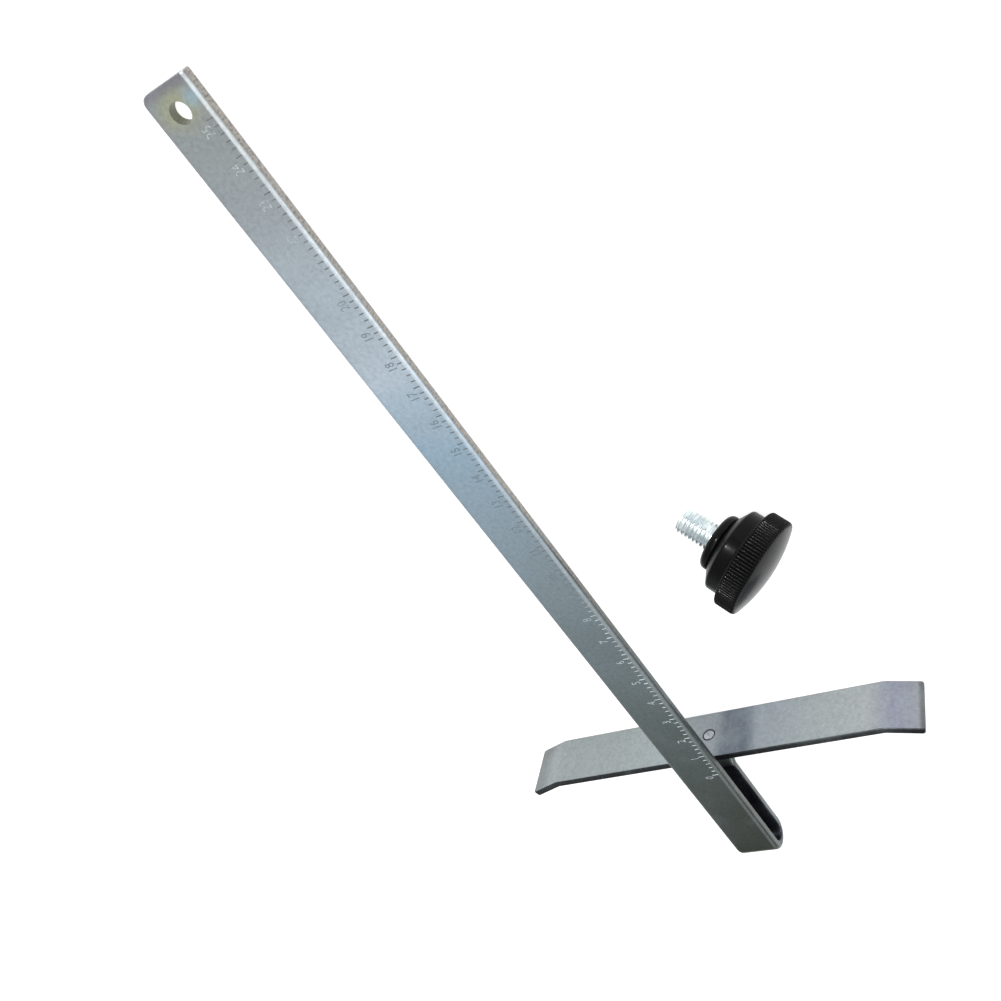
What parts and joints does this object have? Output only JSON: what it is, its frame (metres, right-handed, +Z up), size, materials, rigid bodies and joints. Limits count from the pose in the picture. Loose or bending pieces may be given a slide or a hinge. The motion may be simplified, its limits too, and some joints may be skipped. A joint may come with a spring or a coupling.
{
  "type": "measuring stop for a tile cutter",
  "caption": "Flat steel measuring bar with an engraved scale, turned back and riveted to a cross fence plate, beside a loose knurled clamping knob on a threaded stud.",
  "frame": {"origin": "middle of the whole part's footprint, on the bench it lies on", "axes": "+X along the bar from the hanging hole to the turned-back end, +Y along the fence towards the knob's side, +Z up off the bench; the scale face leans 5.43 degrees"},
  "size_m": [0.3092, 0.1436, 0.0318],
  "materials": {
    "zinc_bar": "zinc plated, satin, engraved scale",
    "zinc_fence": "zinc plated, satin",
    "rivet_steel": "zinc plated",
    "black_plastic": "moulded, fine knurled rim, glossy dome",
    "stud_steel": "bright zinc plated thread"
  },
  "bodies": {
    "stop": {"measuring_arm": "zinc_bar", "fence_plate": "zinc_fence", "fence_rivet": "rivet_steel"},
    "knob": {"knob_body": "black_plastic", "knob_stud": "stud_steel"}
  },
  "joints": [
    {"name": "knob_turn", "type": "hinge", "parent": "stop", "child": "knob", "pos_m": [0.0144, 0.0393, 0.00316], "axis": [0.5656, 0.6741, 0.4751], "continuous": true}
  ]
}
